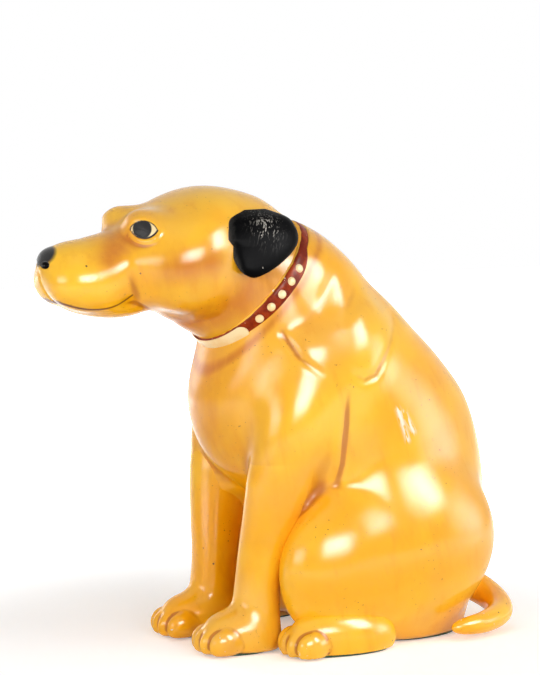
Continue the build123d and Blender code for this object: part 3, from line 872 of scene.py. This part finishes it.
stud_profile = np.linspace(0, np.pi / 2, STUD_RINGS)
stud_radius = STUD_RADIUS * np.cos(stud_profile) ** STUD_FULLNESS
stud_height = (STUD_HEIGHT + STUD_SINK) * np.sin(stud_profile) - STUD_SINK
stud_turn = 2 * np.pi * np.arange(STUD_COLUMNS) / STUD_COLUMNS
for side_name, side in (("left", 1), ("right", -1)):
    for index in range(STUDS_PER_SIDE):
        along = side * (PLATE_LENGTH / 2 + STUD_GAP + index * STUD_PITCH)
        aside = along + stud_radius[:, None] * np.cos(stud_turn)
        up = stud_radius[:, None] * np.sin(stud_turn)
        stud_grid = round_the_neck(turn_at(aside), BAND_PROUD + stud_height[:, None] + 0 * up, up)
        stud = piece(f"painted_{side_name}_collar_stud_{index + 1}", stud_grid)
        stud.data.materials.append(plate.data.materials[0])
        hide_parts("collar_studs")


# Inside and underside: the plaster wad over the neck joint, the iron rods and wire that stiffen the legs and
# the tail, the grey card that closes the foot and the green felts. They keep their own shapes.
def plain_stuff(name, dark, light, scale, roughness, metallic=0.0):
    """Matt stuff in two cloudy tones, with a grain of the same scale."""
    material, tree, gloss = shader(name)
    place = wire(tree, "TexCoord", {}, "Object")
    grain = noise(tree, place, scale, 5, 0.7)
    colour = over(tree, rise(tree, grain, 0.35, 0.65), paint(*dark), paint(*light))
    tree.links.new(colour, gloss.inputs["Base Color"])
    rough = wire(tree, "MapRange", {"Value": grain, "To Min": roughness - 0.1, "To Max": roughness + 0.08})
    tree.links.new(rough, gloss.inputs["Roughness"])
    gloss.inputs["Metallic"].default_value = metallic
    bump = wire(tree, "Bump", {"Height": grain, "Strength": 0.5, "Distance": 0.0005})
    tree.links.new(bump, gloss.inputs["Normal"])
    return material


bare_plaster = plain_stuff("bare plaster", (214, 206, 190), (238, 232, 220), 90, 0.85)
iron = plain_stuff("rusted iron", (58, 40, 30), (104, 84, 70), 240, 0.6, 0.7)
card = plain_stuff("grey card", (128, 118, 102), (164, 154, 136), 420, 0.88)
felt = plain_stuff("green felt", (28, 62, 40), (52, 92, 62), 900, 0.9)
inner_finishes = {
    "neck_wad": bare_plaster, "left_leg_rod": iron, "right_leg_rod": iron, "tail_wire": iron,
    "base_card": card, "body_felt": felt, "forepaw_felts": felt, "hind_foot_felts": felt,
}
for node_name, finish in inner_finishes.items():
    node_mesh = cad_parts[node_name].data
    node_mesh.materials.clear()
    node_mesh.materials.append(finish)


# Studio: a pale floor that shows white to the camera and keeps the shadow, soft boxes all round, placed
# where the varnish mirrors them, and a camera on the dog's left, turned towards its front. Sizes are in
# metres.
VIEW_AZIMUTH, VIEW_ELEVATION, VIEW_DISTANCE = 63.0, 6.0, 2.2
VIEW_TARGET = np.array([0.0, withers[1] * MM, 0.2373])
VIEW_HEIGHT = 0.5265
SENSOR_MM = 36.0
FLOOR_HALF = 3.0
FLOOR_GREY, FLOOR_WHITE = paint(240, 240, 240), paint(250, 250, 250)
FLOOR_GLOW, FLOOR_GLOW_FROM, FLOOR_GLOW_TO = 0.32, 0.2, 0.7
FILL_STRENGTH, SEEN_STRENGTH = 0.2, 1.0
SOFTBOX_DISTANCE = 1.8
# Each soft box: its name, azimuth, elevation, width, height, light in watts, and the strength of its
# reflection in watts for each square metre.
SOFTBOXES = (
    ("top box", 60, 66, 0.9, 0.9, 5, 6),
    ("front box", 26, 11, 1.0, 0.45, 12, 90),
    ("side box", 89, 15, 0.8, 0.5, 9, 170),
    ("shoulder box", 131, 27, 0.65, 0.85, 6, 170),
    ("back box", 157, 4, 0.75, 0.6, 9, 90),
    ("rim box", -75, 5, 0.45, 0.6, 12, 90),
)


def seen_rays(tree):
    """1 for rays straight from the camera, off gloss or through glass: the sum of the three kinds."""
    path = tree.nodes.new("ShaderNodeLightPath")
    seen = plus(tree, path.outputs["Is Camera Ray"], path.outputs["Is Transmission Ray"])
    return plus(tree, seen, path.outputs["Is Glossy Ray"])


floor_mesh = bpy.data.meshes.new("floor")
floor_corners = [(-FLOOR_HALF, -FLOOR_HALF, 0), (FLOOR_HALF, -FLOOR_HALF, 0), (FLOOR_HALF, FLOOR_HALF, 0),
                 (-FLOOR_HALF, FLOOR_HALF, 0)]
floor_mesh.from_pydata(floor_corners, [], [(0, 1, 2, 3)])
floor = bpy.data.objects.new("floor", floor_mesh)
bpy.context.scene.collection.objects.link(floor)
floor_material, floor_tree, floor_shader = shader("pale floor")
floor_place = wire(floor_tree, "TexCoord", {}, "Object")
floor_grain = noise(floor_tree, floor_place, 6, 3)
floor_colour = over(floor_tree, floor_grain, FLOOR_GREY, FLOOR_WHITE)
floor_tree.links.new(floor_colour, floor_shader.inputs["Base Color"])
floor_shader.inputs["Roughness"].default_value = 0.9
floor_shader.inputs["Specular IOR Level"].default_value = 0.1
floor_radius = wire(floor_tree, "VectorMath", {0: floor_place}, "Value", operation="LENGTH")
floor_glow = plus(floor_tree, FLOOR_GLOW, rise(floor_tree, floor_radius, FLOOR_GLOW_FROM, FLOOR_GLOW_TO))
floor_glow = times(floor_tree, floor_glow, seen_rays(floor_tree))
floor_shader.inputs["Emission Color"].default_value = (1, 1, 1, 1)
floor_tree.links.new(floor_glow, floor_shader.inputs["Emission Strength"])
floor.data.materials.append(floor_material)

world = bpy.data.worlds.new("studio")
bpy.context.scene.world = world
world.use_nodes = True
world_tree = world.node_tree
backdrop = world_tree.nodes["Background"]
strength = {"Value": seen_rays(world_tree), "To Min": FILL_STRENGTH, "To Max": SEEN_STRENGTH}
world_tree.links.new(wire(world_tree, "MapRange", strength), backdrop.inputs["Strength"])
backdrop.inputs["Color"].default_value = (1, 1, 1, 1)


def direction(azimuth, elevation):
    """Unit vector to an azimuth, 0 at the dog's front and 90 at its left, and an elevation, in degrees."""
    azimuth, elevation = np.radians(azimuth), np.radians(elevation)
    level = np.cos(elevation)
    return np.array([np.sin(azimuth) * level, -np.cos(azimuth) * level, np.sin(elevation)])


def aimed(made, place, target):
    """Puts a lamp or camera at a place, looking at a target, top up: its axes are cross products."""
    back = (place - target) / np.linalg.norm(place - target)
    right = np.cross((0, 0, 1), back)
    right /= np.linalg.norm(right)
    up = np.cross(back, right)
    made.matrix_world = Matrix([(right[i], up[i], back[i], place[i]) for i in range(3)] + [(0, 0, 0, 1)])
    bpy.context.scene.collection.objects.link(made)


def softbox(name, azimuth, elevation, width, height, power, shine):
    """A soft box aimed at the figure: one lamp for the light that it throws, in watts, and one of the same
    size for its reflection in the varnish, in watts from each square metre."""
    for part, energy in (("light", power), ("reflection", shine * width * height)):
        lamp = bpy.data.lights.new(f"{name} {part}", "AREA")
        lamp.shape = "RECTANGLE"
        lamp.size, lamp.size_y, lamp.energy = width, height, energy
        made = bpy.data.objects.new(f"{name} {part}", lamp)
        made.visible_glossy, made.visible_diffuse = part == "reflection", part == "light"
        aimed(made, VIEW_TARGET + SOFTBOX_DISTANCE * direction(azimuth, elevation), VIEW_TARGET)


for box in SOFTBOXES:
    softbox(*box)

camera_data = bpy.data.cameras.new("camera")
camera_data.sensor_fit = "VERTICAL"
camera_data.sensor_height = SENSOR_MM
camera_data.lens = SENSOR_MM * VIEW_DISTANCE / VIEW_HEIGHT
camera = bpy.data.objects.new("camera", camera_data)
aimed(camera, VIEW_TARGET + VIEW_DISTANCE * direction(VIEW_AZIMUTH, VIEW_ELEVATION), VIEW_TARGET)
bpy.context.scene.camera = camera
bpy.context.scene.view_settings.view_transform = "Standard"
